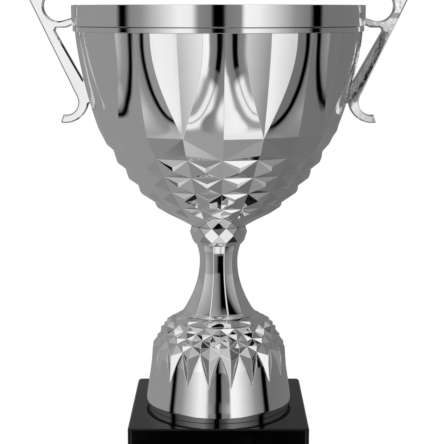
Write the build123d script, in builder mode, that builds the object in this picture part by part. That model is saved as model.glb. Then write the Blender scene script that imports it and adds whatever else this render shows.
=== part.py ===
from build123d import *
import math
import os

# Cup trophy: a square stone block, a bell-shaped riser, a twelve-sided stem, a faceted knop
# and a diamond-cut bowl with a smooth rim band and inner cup, all clamped by one threaded rod,
# and two flat handles screwed to the bowl. Millimetres, +Z up, origin at the middle of the underside.
# The front faces -Y and the handles lie along X.
#
# The faceted pieces are worked out from rings. A ring is (height, radius), its corners stand
# at even steps round the axis, and azimuths are degrees from the front, positive towards +X.

# ---------------------------------------------------------------- driving dimensions
base_side = 100.0
base_top = 50.0
base_corner = 2.5
base_edge = 0.8
felt_thickness = 1.5
felt_inset = 2.0

bell_turn = 1.3          # clocking of riser, stem and knop about the rod, degrees
bowl_turn = 2.4          # clocking of the bowl about the rod, degrees
cuts_round = 20          # pyramids round the riser and round the lower bowl
flutes_round = 10        # pointed flutes round the upper bowl
stem_sides = 12

bell_top = 104.5
stem_top = 144.9
knop_top = 155.6
shell_top = 265.4
rim_top = 279.7
rim_radius = 81.8
boss_top = 165.5         # the inner cup's floor rests here, on the shell's boss

rod_radius = 2.95
rod_hole = 3.25
rod_bottom = 4.5
rod_end = 176.0
counterbore_radius = 13.0
counterbore_depth = 12.0

handle_thickness = 6.0
handle_edge = 0.8        # chamfer round the handle plates
contact_gap = 0.1        # air between a handle and the bowl that it is screwed to

cut_step = 360.0 / cuts_round
flute_step = 360.0 / flutes_round
stem_step = 360.0 / stem_sides

# ---------------------------------------------------------------- rings of the riser
lip_top = (54.4, 42.2)
spike_tip = (69.6, 39.75)
spike_crest = (85.4, 38.6)
valley_1 = (87.8, 35.2)
crest_2 = (91.3, 35.6)
valley_2 = (91.5, 33.9)
crest_3 = (94.6, 34.0)
valley_3 = (94.7, 31.3)
crest_4 = (98.4, 31.6)
valley_4 = (97.4, 28.4)
shoulder = (100.8, 27.8)
collar_foot = (100.8, 25.8)
collar_crest = (102.6, 24.6)
collar_valley = (103.0, 21.4)
collar_rim = (bell_top, 21.2)

# ---------------------------------------------------------------- rings of the bowl
flute_half = 8.6                  # half width of a flute at its top, degrees
flute_top = (shell_top, 79.9)
flute_waist = (250.0, 78.2)
flute_point = (211.0, 67.8)
crease_rise = 1.004               # flute creases stand this much outside the ring
channel_drop = 0.994              # the channels beside a flute lie this much inside it
crown = (201.8, 63.2)             # tip of the wide pyramid under each flute
pyramid_rows = [                  # valley above, upper tip, lower tip
    ((199.0, 59.6), (195.0, 58.5), (192.4, 57.5)),
    ((188.9, 53.1), (185.8, 52.2), (183.3, 51.3)),
    ((179.4, 45.9), (176.4, 45.2), (174.7, 44.2)),
    ((169.6, 36.6), (167.6, 35.9), (166.4, 35.1)),
]
cap_rings = [(163.3, 30.0), (158.9, 21.4), (knop_top, 15.7)]

# ---------------------------------------------------------------- rings of stem and knop
stem_rings = [(bell_top, 20.9), (107.5, 19.3), (113.0, 16.3), (120.2, 13.5), (127.3, 11.8),
              (134.3, 11.1), (140.0, 11.6), (stem_top, 12.9)]
knop_foot = (stem_top, 13.3)
knop_low = (147.2, 15.2)
knop_middle = (151.5, 16.4)
knop_high = (knop_top, 15.8)


# ---------------------------------------------------------------- helpers
def corner(azimuth, ring):
    """Point at an azimuth on a ring given as (height, radius)."""
    height, radius = ring
    turn = math.radians(azimuth)
    return Vector(radius * math.sin(turn), -radius * math.cos(turn), height)


def grown(ring, factor):
    """The same ring with its radius multiplied."""
    return (ring[0], ring[1] * factor)


def pyramid(top, right, bottom, left, tip):
    """Four triangles from the corners of a rhombus to its tip."""
    rim = [top, left, bottom, right, top]
    return [[a, b, tip] for a, b in zip(rim, rim[1:])]


def lid(azimuths, ring):
    """Flat polygon over all the corners of a ring."""
    return [corner(a, ring) for a in azimuths]


def faceted(facets):
    """Closed solid whose faces are the given flat polygons."""
    faces = [Face(Wire.make_polygon(facet, close=True)) for facet in facets]
    return Solid(Shell(faces))


def star_facets():
    """Riser band: four rows of pyramids, the lowest drawn down into long spikes."""
    facets = []
    half = cut_step / 2
    centre = Vector(0, 0, spike_tip[0])
    for k in range(cuts_round):
        a = bell_turn + k * cut_step
        b, c = a + half, a + cut_step
        tip, before, after = corner(b, spike_tip), corner(a, valley_1), corner(c, valley_1)
        facets += pyramid(corner(b, valley_2), after, tip, before, corner(b, spike_crest))
        facets += pyramid(corner(a, valley_3), corner(b, valley_2), before,
                          corner(a - half, valley_2), corner(a, crest_2))
        facets += pyramid(corner(b, valley_4), corner(c, valley_3), corner(b, valley_2),
                          corner(a, valley_3), corner(b, crest_3))
        facets += pyramid(corner(a, shoulder), corner(b, valley_4), corner(a, valley_3),
                          corner(a - half, valley_4), corner(a, crest_4))
        facets.append([corner(a, shoulder), corner(b, valley_4), corner(c, shoulder)])
        facets += [[before, tip, centre], [tip, after, centre]]
    facets.append(lid([bell_turn + k * cut_step for k in range(cuts_round)], shoulder))
    return facets


def collar_facets():
    """Twelve small diamonds between the riser's shoulder and the stem."""
    facets = []
    for k in range(stem_sides):
        d = bell_turn + k * stem_step
        before, e = d - stem_step / 2, d + stem_step / 2
        facets += pyramid(corner(e, collar_rim), corner(d + stem_step, collar_valley),
                          corner(e, collar_foot), corner(d, collar_valley), corner(e, collar_crest))
        facets.append([corner(before, collar_rim), corner(d, collar_valley), corner(e, collar_rim)])
        facets.append([corner(d, collar_valley), corner(before, collar_foot), corner(e, collar_foot)])
    ridges = [bell_turn + (k + 0.5) * stem_step for k in range(stem_sides)]
    return facets + [lid(ridges, collar_rim), lid(ridges, collar_foot)]


def flute_facets():
    """Upper bowl: ten flutes that taper to points, with creased panels between them."""
    facets, rim = [], []
    valley = pyramid_rows[0][0]
    for k in range(flutes_round):
        v = bowl_turn + (k + 0.5) * flute_step
        point, tip, foot = corner(v, flute_point), corner(v, crown), corner(v, valley)
        rim += [v - flute_step / 2, v - flute_half, v, v + flute_half]
        for side in (-1, 1):
            u, edge = v + side * flute_step / 2, v + side * flute_half
            across = [(v, crease_rise), (edge, channel_drop), (u, crease_rise)]
            low = [corner(a, grown(flute_waist, g)) for a, g in across]
            high = [corner(a, grown(flute_top, g)) for a, g in across]
            middle, below = corner(u, grown(flute_point, crease_rise)), corner(u, valley)
            facets += [[low[0], low[1], high[1], high[0]], [low[1], low[2], high[2], high[1]]]
            facets += [[low[0], point, low[1]], [low[1], point, middle], [low[1], middle, low[2]]]
            facets += [[point, below, middle], [point, tip, below], [tip, foot, below]]
    factors = [crease_rise, channel_drop, crease_rise, channel_drop] * flutes_round
    facets.append([corner(a, grown(flute_top, g)) for a, g in zip(rim, factors)])
    return facets


def pyramid_facets():
    """Lower bowl: rows of hipped pyramids that shrink towards the foot, then a plain cap."""
    facets = []
    valleys = [row[0] for row in pyramid_rows] + [cap_rings[0]]
    seats = [bowl_turn + k * cut_step for k in range(cuts_round)]
    for (above, upper, lower), under in zip(pyramid_rows, valleys[1:]):
        for a in seats:
            c = a + cut_step
            high, low = corner(a + cut_step / 2, upper), corner(a + cut_step / 2, lower)
            left, right = corner(a, above), corner(c, above)
            left_foot, right_foot = corner(a, under), corner(c, under)
            facets += [[left, right, high], [left, high, low], [left, low, left_foot]]
            facets += [[right, low, high], [right, right_foot, low], [low, right_foot, left_foot]]
    for upper, lower in zip(cap_rings, cap_rings[1:]):
        for a in seats:
            c = a + cut_step
            facets.append([corner(a, upper), corner(c, upper), corner(c, lower), corner(a, lower)])
    facets.append(lid(seats, cap_rings[-1]))
    return facets


def knop_facets():
    """Twelve upright rhombi with triangles between them, on a short bevelled foot."""
    facets = []
    ridges = [bell_turn + (k + 0.5) * stem_step for k in range(stem_sides)]
    for e in ridges:
        d, after = e + stem_step / 2, e + stem_step
        high, low, side = corner(e, knop_high), corner(e, knop_low), corner(d, knop_middle)
        other = corner(e - stem_step / 2, knop_middle)
        facets += [[high, other, side], [low, side, other]]
        facets += [[high, side, corner(after, knop_high)], [low, corner(after, knop_low), side]]
        facets.append([low, corner(after, knop_low), corner(after, knop_foot), corner(e, knop_foot)])
    return facets + [lid(ridges, knop_high), lid(ridges, knop_foot)]


# ---------------------------------------------------------------- block, felt and their nut
with BuildPart() as base_block:
    with BuildSketch(Plane.XY.offset(felt_thickness)):
        RectangleRounded(base_side, base_side, base_corner)
    extrude(amount=base_top - felt_thickness)
    chamfer(base_block.faces().sort_by(Axis.Z)[-1].edges(), base_edge)
    chamfer(base_block.faces().sort_by(Axis.Z)[0].edges(), base_edge)
    with BuildSketch(Plane.XY.offset(felt_thickness)):
        Circle(counterbore_radius)
    extrude(amount=counterbore_depth, mode=Mode.SUBTRACT)
    with BuildSketch(Plane.XY):
        Circle(rod_hole)
    extrude(amount=base_top, mode=Mode.SUBTRACT)
base_block.part.label = "base_block"

felt_side = base_side - 2 * felt_inset
with BuildPart() as base_felt:
    with BuildSketch():
        RectangleRounded(felt_side, felt_side, base_corner)
    extrude(amount=felt_thickness)
base_felt.part.label = "base_felt"

washer_thickness = 1.6
washer_bevel = 0.2
base_washer_radius = 9.0
bowl_washer_radius = 12.0
rod_bevel = 0.6
nut_height = 5.0
nut_cone = (1.5, 0.9)    # the nut's corners are turned off by a cone this wide and high
nut_flats = 10.0
thread_bore = 3.0
base_washer_top = felt_thickness + counterbore_depth
with BuildPart() as base_washer:
    with BuildSketch(Plane.XY.offset(base_washer_top - washer_thickness)):
        Circle(base_washer_radius)
        Circle(rod_hole, mode=Mode.SUBTRACT)
    extrude(amount=washer_thickness)
    chamfer(base_washer.faces().sort_by(Axis.Z)[0].edges(), washer_bevel)
base_washer.part.label = "base_washer"

base_nut_top = base_washer_top - washer_thickness
with BuildPart() as base_nut:
    with BuildSketch(Plane.XY.offset(base_nut_top - nut_height)):
        RegularPolygon(nut_flats / 2, 6, major_radius=False)
        Circle(thread_bore, mode=Mode.SUBTRACT)
    extrude(amount=nut_height)
    with BuildSketch(Plane.XZ):
        with BuildLine():
            Polyline((0, base_nut_top - nut_height), (nut_flats / 2, base_nut_top - nut_height),
                     (nut_flats / 2 + nut_cone[0], base_nut_top - nut_height + nut_cone[1]),
                     (nut_flats / 2 + nut_cone[0], base_nut_top), (0, base_nut_top), close=True)
        make_face()
    revolve(axis=Axis.Z, mode=Mode.INTERSECT)
base_nut.part.label = "base_nut"

with BuildPart() as tie_rod:
    with BuildSketch(Plane.XY.offset(rod_bottom)):
        Circle(rod_radius)
    extrude(amount=rod_end - rod_bottom)
    chamfer(tie_rod.edges().filter_by(GeomType.CIRCLE), rod_bevel)
tie_rod.part.label = "tie_rod"

# ---------------------------------------------------------------- riser bell
foot_radius = 40.6
foot_height = 3.4
skirt_curve = [(40.75, 63.0), (spike_tip[1], spike_tip[0]), (38.9, 75.0), (38.3, 80.0), (36.9, 84.5)]
skirt_head = (34.6, valley_1[0])
bell_cavity = [(38.4, base_top), (38.0, 66.0), (36.4, 80.0), (33.0, 87.0), (31.2, 91.0), (28.6, 94.4),
               (25.6, 97.4), (19.0, 100.2)]
with BuildPart() as riser_bell:
    with BuildSketch(Plane.XZ):
        with BuildLine():
            Polyline((0, valley_1[0]), (0, base_top), (foot_radius, base_top),
                     (foot_radius, base_top + foot_height), (lip_top[1], base_top + foot_height),
                     (lip_top[1], lip_top[0]))
            Spline((lip_top[1], lip_top[0]), *skirt_curve, skirt_head)
            Line(skirt_head, (0, valley_1[0]))
        make_face()
    revolve(axis=Axis.Z)
    add(faceted(star_facets()))
    add(faceted(collar_facets()))
    with BuildSketch(Plane.XZ):
        with BuildLine():
            Polyline((0, base_top), *bell_cavity, (0, bell_cavity[-1][1]), close=True)
        make_face()
    revolve(axis=Axis.Z, mode=Mode.SUBTRACT)
    with BuildSketch(Plane.XY.offset(base_top)):
        Circle(rod_hole)
    extrude(amount=bell_top - base_top, mode=Mode.SUBTRACT)
riser_bell.part.label = "riser_bell"

# ---------------------------------------------------------------- stem and knop
stem_cavity = [(18.0, bell_top), (13.4, 113.0), (10.4, 121.0), (8.8, 130.0), (8.8, 139.0)]
with BuildPart() as stem:
    for height, radius in stem_rings:
        with BuildSketch(Plane.XY.offset(height)):
            RegularPolygon(radius, stem_sides, rotation=bell_turn + stem_step / 2)
    loft(ruled=True)
    with BuildSketch(Plane.XZ):
        with BuildLine():
            Polyline((0, bell_top), *stem_cavity, (0, stem_cavity[-1][1]), close=True)
        make_face()
    revolve(axis=Axis.Z, mode=Mode.SUBTRACT)
    with BuildSketch(Plane.XY.offset(bell_top)):
        Circle(rod_hole)
    extrude(amount=stem_top - bell_top, mode=Mode.SUBTRACT)
stem.part.label = "stem"

with BuildPart() as knop:
    add(faceted(knop_facets()))
    with BuildSketch(Plane.XY.offset(stem_top)):
        Circle(rod_hole)
    extrude(amount=knop_top - stem_top, mode=Mode.SUBTRACT)
knop.part.label = "knop"

# ---------------------------------------------------------------- screws of the handles
leg_screw_lean = 15.6            # the bowl's wall leans this far where the leg meets it
leg_screw_wall = (70.75, 232.0)   # radius and height where the screw leaves the shell's inside
leg_screw_radius = 1.45
leg_hole_radius = 1.6
leg_screw_head = (2.7, 1.7)       # radius and height
leg_washer_radius = 3.4
leg_washer_thickness = 0.5
leg_washer_gap = 0.15             # its flat face stands this far off the round wall
leg_screw_reach = 6.4
thread_clearance = 0.03
rim_screw_height = 270.9
rim_screw_radius = 0.95
rim_hole_radius = 1.05
rim_screw_head = (1.9, 1.3)       # radius and height
rim_screw_slot = (2.2, 0.5, 0.7)  # length, width and depth of its crossed slots
rim_screw_gap = 0.05              # the flat head stands this far off the round band
rim_screw_reach = 84.8
band_inner = rim_radius - 1.4


def leg_plane(side):
    """Plane on the shell's inner wall, its normal along the leg screw, outwards."""
    lean = math.radians(leg_screw_lean)
    radius, height = leg_screw_wall
    return Plane(origin=(side * radius, 0, height), x_dir=(0, 1, 0),
                 z_dir=(side * math.cos(lean), 0, -math.sin(lean)))


def rim_plane(side, radius):
    """Upright plane across the rim screw at a distance from the axis."""
    return Plane(origin=(side * radius, 0, rim_screw_height), x_dir=(0, 1, 0), z_dir=(side, 0, 0))


# ---------------------------------------------------------------- bowl shell, rim band and inner cup
shell_cavity = [(77.6, shell_top), (75.8, 250.0), (64.8, 211.0), (56.6, 199.0), (50.2, 188.9),
                (43.2, 179.4), (34.0, 170.4), (27.0, 165.0), (14.0, 162.0), (12.0, 162.0), (12.0, boss_top)]
with BuildPart() as bowl_shell:
    add(faceted(flute_facets() + pyramid_facets()))
    with BuildSketch(Plane.XZ):
        with BuildLine():
            Polyline((0, shell_top), *shell_cavity, (0, boss_top), close=True)
        make_face()
    revolve(axis=Axis.Z, mode=Mode.SUBTRACT)
    with BuildSketch(Plane.XY.offset(knop_top)):
        Circle(rod_hole)
    extrude(amount=boss_top - knop_top, mode=Mode.SUBTRACT)
    for side in (-1, 1):
        with BuildSketch(leg_plane(side)):
            Circle(leg_hole_radius)
        extrude(amount=leg_screw_reach, both=True, mode=Mode.SUBTRACT)
bowl_shell.part.label = "bowl_shell"

cup_wall = 0.9
bead_radius = 81.1
bead_top = 268.0
band_bottom = 268.4
groove_radius = bead_radius - 0.4
flange_inner = 76.9
flange_top = 266.6
band_round = 0.65
with BuildPart() as rim_band:
    with BuildSketch(Plane.XZ):
        with BuildLine():
            Polyline((flange_inner, shell_top), (bead_radius, shell_top), (bead_radius, bead_top),
                     (groove_radius, bead_top), (groove_radius, band_bottom), (rim_radius, band_bottom),
                     (rim_radius, rim_top), (band_inner, rim_top), (band_inner, flange_top),
                     (flange_inner, flange_top), close=True)
        make_face()
    revolve(axis=Axis.Z)
    fillet(rim_band.edges().group_by(Axis.Z)[-1], band_round)
    for side in (-1, 1):
        with BuildSketch(rim_plane(side, band_inner - 1)):
            Circle(rim_hole_radius)
        extrude(amount=4, mode=Mode.SUBTRACT)
rim_band.part.label = "rim_band"

cup_lip_top = flange_top + 0.8     # the inner cup hangs by its lip on the band's flange
cup_lip_radius = band_inner - 0.1
cup_throat = 76.8
cup_floor_top = boss_top + cup_wall
cup_outside = [(20.0, boss_top), (28.5, 168.8), (37.5, 176.5), (46.5, 187.5), (60.5, 211.0), (67.8, 232.0),
               (73.8, 252.0), (cup_throat, flange_top)]
cup_inside = [(cup_throat - 0.8, cup_lip_top), (72.95, 252.0), (66.95, 232.0), (59.7, 211.3), (45.8, 188.1),
              (36.8, 177.1), (28.0, 169.6), (19.8, cup_floor_top)]
with BuildPart() as cup_liner:
    with BuildSketch(Plane.XZ):
        with BuildLine():
            Spline(*cup_outside, tangents=[(1, 0.2), (0.15, 1)])
            Polyline(cup_outside[-1], (cup_lip_radius, flange_top), (cup_lip_radius, cup_lip_top),
                     cup_inside[0])
            Spline(*cup_inside, tangents=[(-0.15, -1), (-1, -0.2)])
            Polyline(cup_inside[-1], (rod_hole, cup_floor_top), (rod_hole, boss_top), cup_outside[0])
        make_face()
    revolve(axis=Axis.Z)
cup_liner.part.label = "cup_liner"

# ---------------------------------------------------------------- clamp inside the cup
bowl_washer_bottom = cup_floor_top
lock_washer_bottom = bowl_washer_bottom + washer_thickness
bowl_nut_bottom = lock_washer_bottom + washer_thickness
with BuildPart() as bowl_washer:
    with BuildSketch(Plane.XY.offset(bowl_washer_bottom)):
        Circle(bowl_washer_radius)
        Circle(rod_hole, mode=Mode.SUBTRACT)
    extrude(amount=washer_thickness)
    chamfer(bowl_washer.faces().sort_by(Axis.Z)[-1].edges(), washer_bevel)
bowl_washer.part.label = "bowl_washer"

lock_washer_radii = (5.8, 3.1)
lock_washer_split = (4.0, 1.0, 20)      # length, width and slant of the cut through the spring washer
with BuildPart() as bowl_lock_washer:
    with BuildSketch(Plane.XY.offset(lock_washer_bottom)):
        Circle(lock_washer_radii[0])
        Circle(lock_washer_radii[1], mode=Mode.SUBTRACT)
        with Locations((sum(lock_washer_radii) / 2, 0)):
            Rectangle(lock_washer_split[0], lock_washer_split[1], rotation=lock_washer_split[2],
                      mode=Mode.SUBTRACT)
    extrude(amount=washer_thickness)
bowl_lock_washer.part.label = "bowl_lock_washer"

dome_radius = 4.7
dome_skirt = 1.2
thread_depth = 8.0
with BuildPart() as bowl_nut:
    with BuildSketch(Plane.XY.offset(bowl_nut_bottom)):
        RegularPolygon(nut_flats / 2, 6, major_radius=False)
    extrude(amount=nut_height)
    with BuildSketch(Plane.XZ):
        with BuildLine():
            dome_start = bowl_nut_bottom + nut_height
            Line((0, dome_start), (dome_radius, dome_start))
            Line((dome_radius, dome_start), (dome_radius, dome_start + dome_skirt))
            RadiusArc((dome_radius, dome_start + dome_skirt), (0, dome_start + dome_skirt + dome_radius),
                      -dome_radius)
            Line((0, dome_start + dome_skirt + dome_radius), (0, dome_start))
        make_face()
    revolve(axis=Axis.Z)
    with BuildSketch(Plane.XY.offset(bowl_nut_bottom)):
        Circle(thread_bore)
    extrude(amount=thread_depth, mode=Mode.SUBTRACT)
bowl_nut.part.label = "bowl_nut"

# ---------------------------------------------------------------- handles
leg_foot = (79.7, 228.9)         # the outer straight edge starts above the hook
leg_head = (108.5, 289.4)        # and runs up to the scroll
leg_crook = (98.6, 297.0)
bridge_corner = (92.4, 267.3)
hook_tip = ((88.9, 214.3), (87.6, 218.6))
notch_centre = (89.3, 279.2)
notch_radius = 8.3


def notch_point(angle):
    """Point on the round finger notch above the bridge."""
    turn = math.radians(angle)
    return (notch_centre[0] + notch_radius * math.cos(turn), notch_centre[1] + notch_radius * math.sin(turn))


def notch_tangent(angle, length):
    """Point reached by leaving the notch circle along its tangent."""
    turn = math.radians(angle)
    foot = notch_point(angle)
    return (foot[0] - length * math.sin(turn), foot[1] + length * math.cos(turn))


notch_ends = (46, -106)                         # degrees round the notch, upper and lower end
leg_spur = notch_tangent(notch_ends[0], 7.0)    # thorn that closes the notch from above
bridge_root = notch_tangent(notch_ends[1], -8.3)
curl_tip = (98.5, 321.2)

with BuildPart() as handle_right:
    with BuildSketch(Plane.XZ) as plate:
        with BuildLine():
            back = Line(leg_foot, leg_head)
            curl = TangentArc(leg_head, (108.3, 321.0), tangent=back % 1)
            TangentArc(curl @ 1, curl_tip, tangent=curl % 1)
            crook = Line(leg_spur, leg_crook)
            TangentArc(leg_crook, curl_tip, tangent=crook % 1)
            Line(leg_spur, notch_point(notch_ends[0]))
            ThreePointArc(notch_point(notch_ends[0]), notch_point(-20), notch_point(notch_ends[1]))
            Polyline(notch_point(notch_ends[1]), bridge_root, (79.0, 270.0), (84.8, bridge_corner[1]),
                     bridge_corner, (75.9, 237.9), (71.0, 237.9), (69.0, 227.0), (73.3, 224.8))
            ThreePointArc((73.3, 224.8), (78.1, 216.9), hook_tip[0])
            Line(hook_tip[0], hook_tip[1])
            TangentArc(leg_foot, hook_tip[1], tangent=back % 0 * -1)
        make_face()
        for soft, radius in ((leg_spur, 1.6), (bridge_corner, 1.6)):
            fillet(plate.vertices().sort_by_distance(soft)[0], radius)
    extrude(amount=handle_thickness / 2, both=True)
    chamfer(handle_right.faces().filter_by(Axis.Y).edges(), handle_edge)
    with BuildSketch(Plane.XZ):
        with BuildLine():
            Polyline((0, 200.0), (62.0, 200.0), (flute_point[1] * crease_rise + contact_gap, flute_point[0]),
                     (flute_waist[1] * crease_rise + contact_gap, flute_waist[0]),
                     (flute_top[1] * crease_rise + contact_gap, shell_top),
                     (bead_radius + contact_gap, shell_top), (bead_radius + contact_gap, band_bottom),
                     (rim_radius + contact_gap, band_bottom), (rim_radius + contact_gap, 300.0),
                     (0, 300.0), close=True)
        make_face()
    revolve(axis=Axis.Z, mode=Mode.SUBTRACT)
    with BuildSketch(leg_plane(1)):
        Circle(leg_screw_radius + thread_clearance)
    extrude(amount=leg_screw_reach + 0.3, mode=Mode.SUBTRACT)
    with BuildSketch(rim_plane(1, band_inner)):
        Circle(rim_screw_radius + thread_clearance)
    extrude(amount=rim_screw_reach - band_inner + 0.2, mode=Mode.SUBTRACT)
handle_right.part.label = "handle_right"

with BuildPart() as handle_left:
    mirror(handle_right.part, about=Plane.YZ)
handle_left.part.label = "handle_left"

washer_seat = -leg_washer_gap - leg_washer_thickness
with BuildPart() as handle_leg_screws:
    for side in (-1, 1):
        with BuildSketch(leg_plane(side).offset(washer_seat)):
            Circle(leg_screw_radius)
        extrude(amount=leg_screw_reach - washer_seat)
        with BuildSketch(leg_plane(side).offset(washer_seat - leg_screw_head[1])):
            Circle(leg_screw_head[0])
        extrude(amount=leg_screw_head[1])
handle_leg_screws.part.label = "handle_leg_screws"

with BuildPart() as handle_leg_washers:
    for side in (-1, 1):
        with BuildSketch(leg_plane(side).offset(washer_seat)):
            Circle(leg_washer_radius)
            Circle(leg_hole_radius, mode=Mode.SUBTRACT)
        extrude(amount=leg_washer_thickness)
handle_leg_washers.part.label = "handle_leg_washers"

rim_screw_seat = band_inner - rim_screw_gap
with BuildPart() as handle_rim_screws:
    for side in (-1, 1):
        with BuildSketch(rim_plane(side, rim_screw_seat)):
            Circle(rim_screw_radius)
        extrude(amount=rim_screw_reach - band_inner)
        with BuildSketch(rim_plane(side, rim_screw_seat - rim_screw_head[1])):
            Circle(rim_screw_head[0])
        extrude(amount=rim_screw_head[1])
        with BuildSketch(rim_plane(side, rim_screw_seat - rim_screw_head[1])):
            Rectangle(rim_screw_slot[0], rim_screw_slot[1])
            Rectangle(rim_screw_slot[1], rim_screw_slot[0])
        extrude(amount=rim_screw_slot[2], mode=Mode.SUBTRACT)
handle_rim_screws.part.label = "handle_rim_screws"

# ---------------------------------------------------------------- one file for each piece
pieces = [base_block, base_felt, base_washer, base_nut, tie_rod, riser_bell, stem, knop, bowl_shell,
          rim_band, cup_liner, bowl_washer, bowl_lock_washer, bowl_nut, handle_left, handle_right,
          handle_leg_screws, handle_leg_washers, handle_rim_screws]
os.makedirs("parts", exist_ok=True)
for piece in pieces:
    export_step(piece.part, f"parts/{piece.part.label}.step")
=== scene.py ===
"""Cup trophy: the visible pieces of a diamond-cut bowl on a bell-shaped riser and a stone block.

Azimuths are degrees round the upright axis, 0 at the front (-Y) and positive towards +X.
Rings are (height, radius) pairs in millimetres. Meshes are put down in metres.
"""
import math

import bmesh
import bpy
import numpy as np
from mathutils import Euler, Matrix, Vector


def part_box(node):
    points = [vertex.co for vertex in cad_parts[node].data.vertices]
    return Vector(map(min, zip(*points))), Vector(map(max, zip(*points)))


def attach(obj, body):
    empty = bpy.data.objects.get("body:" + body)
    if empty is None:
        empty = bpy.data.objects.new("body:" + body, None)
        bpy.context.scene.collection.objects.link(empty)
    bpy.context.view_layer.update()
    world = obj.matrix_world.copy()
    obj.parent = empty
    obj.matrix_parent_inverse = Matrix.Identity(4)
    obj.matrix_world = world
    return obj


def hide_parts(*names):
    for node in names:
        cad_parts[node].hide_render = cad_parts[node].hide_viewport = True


bl_info = {
    "name": "Cup Trophy Maker",
    "version": (1, 0, 0),
    "blender": (4, 5, 0),
    "location": "View3D > Sidebar > Trophy",
    "description": "Builds the cut bowl, riser, stem, cup, handles and block of a prize cup",
    "category": "Add Mesh",
}

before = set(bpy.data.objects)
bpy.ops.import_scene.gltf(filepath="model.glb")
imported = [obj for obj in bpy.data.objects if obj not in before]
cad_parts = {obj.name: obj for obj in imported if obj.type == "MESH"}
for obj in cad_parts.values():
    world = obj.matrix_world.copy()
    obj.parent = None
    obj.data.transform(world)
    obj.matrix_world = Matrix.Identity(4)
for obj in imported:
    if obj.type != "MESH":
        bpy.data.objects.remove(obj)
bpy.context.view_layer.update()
MM = 0.001

CUTS = 20                # pyramids round the riser and the lower bowl
FLUTES = 10              # pointed flutes round the upper bowl
STEM_SIDES = 12          # facets round the collar, the stem and the knop
RISER_TURN = 1.3         # clocking of riser, stem and knop, degrees
BOWL_TURN = 2.4          # clocking of the bowl, degrees


def node_top(node):
    """Height of a CAD node's upper end in millimetres."""
    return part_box(node)[1][2] / MM


def node_reach(node):
    """Largest X of a CAD node in millimetres."""
    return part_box(node)[1][0] / MM


RISER_TOP = node_top("riser_bell")
STEM_TOP = node_top("stem")
KNOP_TOP = node_top("knop")
SHELL_TOP = node_top("bowl_shell")
RIM_TOP = node_top("rim_band")
RIM_RADIUS = node_reach("rim_band")
BLOCK_TOP = node_top("base_block")
LEDGE = 266.6            # top of the rim band's flange, where the inner cup's lip lies
LIP_THICKNESS = 0.8      # thickness of that lip

# rings of the riser's cut band, from the spikes up to the collar
LIP = (54.4, 42.2)
SPIKE_TIP = (69.6, 39.75)
SPIKE_CREST = (85.4, 38.6)
VALLEY_1 = (87.8, 35.2)
CREST_2 = (91.3, 35.6)
VALLEY_2 = (91.5, 33.9)
CREST_3 = (94.6, 34.0)
VALLEY_3 = (94.7, 31.3)
CREST_4 = (98.4, 31.6)
VALLEY_4 = (97.4, 28.4)
SHOULDER = (100.8, 27.8)
COLLAR_FOOT = (100.8, 25.8)
COLLAR_CREST = (102.6, 24.6)
COLLAR_VALLEY = (103.0, 21.4)
COLLAR_RIM = (RISER_TOP, 21.2)
SKIRT = (LIP, (63.0, 40.75), SPIKE_TIP, (75.0, 38.95), (80.0, 38.3), (84.5, 36.9), VALLEY_1)

# rings of the bowl below its flutes
FLUTE_POINT = (211.0, 67.8)
PANEL_FOOT = (211.0, 68.0)
FLUTE_HALF = 10.0        # half width of a flute at its top, degrees
RIDGE_TOP = 80.3         # radius of the ridges beside the flutes at the top
RIDGE_POWER = 1.4        # how the ridges curve in below the top
VALLEY_DEPTH = (0.14, 0.15)      # depth of a flute for its half width w: 0.14 w + 0.15 w^2
FLUTE_SWELL = 0.35       # how far a flute's sides swell, as a share of w^2 / 4
CREASE_DEPTH = 0.0176    # depth of a panel's crease, as a share of the radius
CREASE_EASE = 1.3        # how soon above the foot the crease is that deep
FOOT_POWER = 6           # how soon above the foot a panel loses its foot's extra radius
PANEL_HOLLOW = 0.48      # depth of the hollow in each half of a panel at the top
PANEL_FADE = 16.0        # height above the foot from which the hollow is full
CROWN = (201.8, 63.2)
PYRAMID_ROWS = (
    ((199.0, 59.6), (195.0, 58.5), (192.4, 57.5)),
    ((188.9, 53.1), (185.8, 52.2), (183.3, 51.3)),
    ((179.4, 45.9), (176.4, 45.2), (174.7, 44.2)),
    ((169.6, 36.6), (167.6, 35.9), (166.4, 35.1)),
)
CAP_RINGS = ((163.3, 30.0), (158.9, 21.4), (KNOP_TOP, 15.7))

# underside of the riser from its lip inwards and up, and hollow of the bowl shell from its top down
RISER_HOLLOW = ((53.4, 42.2), (53.4, 40.6), (BLOCK_TOP, 40.6), (BLOCK_TOP, 38.4), (66.0, 38.0),
                (80.0, 36.4), (87.0, 33.0), (91.0, 31.2), (94.4, 28.6), (97.4, 25.6), (100.2, 19.0))
SHELL_HOLLOW = ((SHELL_TOP, 77.6), (250.0, 75.8), (211.0, 64.8), (199.0, 56.6), (188.9, 50.2),
                (179.4, 43.2), (170.4, 34.0), (165.5, 28.0))

# stem
STEM_WAIST = (135.0, 11.15)      # height and radius of the ridges where it is thinnest
STEM_CURVE = (0.0108, 0.0179)    # how fast the ridges spread below and above the waist
STEM_HOLLOW = 0.009      # depth of the hollow in a flat, as a share of the radius
STEM_ARCH = (104.7, 0.9)         # height of the arch at a flat's foot, and its rise to the ridges
STEM_ARCH_BLEND = 1.6    # height over which a flat comes up out of its arch

# rings of the knop
KNOP_FOOT = (STEM_TOP, 13.3)
KNOP_LOW = (147.2, 15.2)
KNOP_MIDDLE = (151.5, 16.4)
KNOP_HIGH = (KNOP_TOP, 15.8)


# ---------------------------------------------------------------- shapes
def on_ring(azimuth, ring):
    """Points at azimuths on a (height, radius) ring: x = r sin a, y = -r cos a."""
    height, radius = ring
    turn = np.radians(azimuth)
    x, y, z = np.broadcast_arrays(radius * np.sin(turn), -radius * np.cos(turn), height)
    return np.stack([x, y, z], axis=-1)


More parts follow.
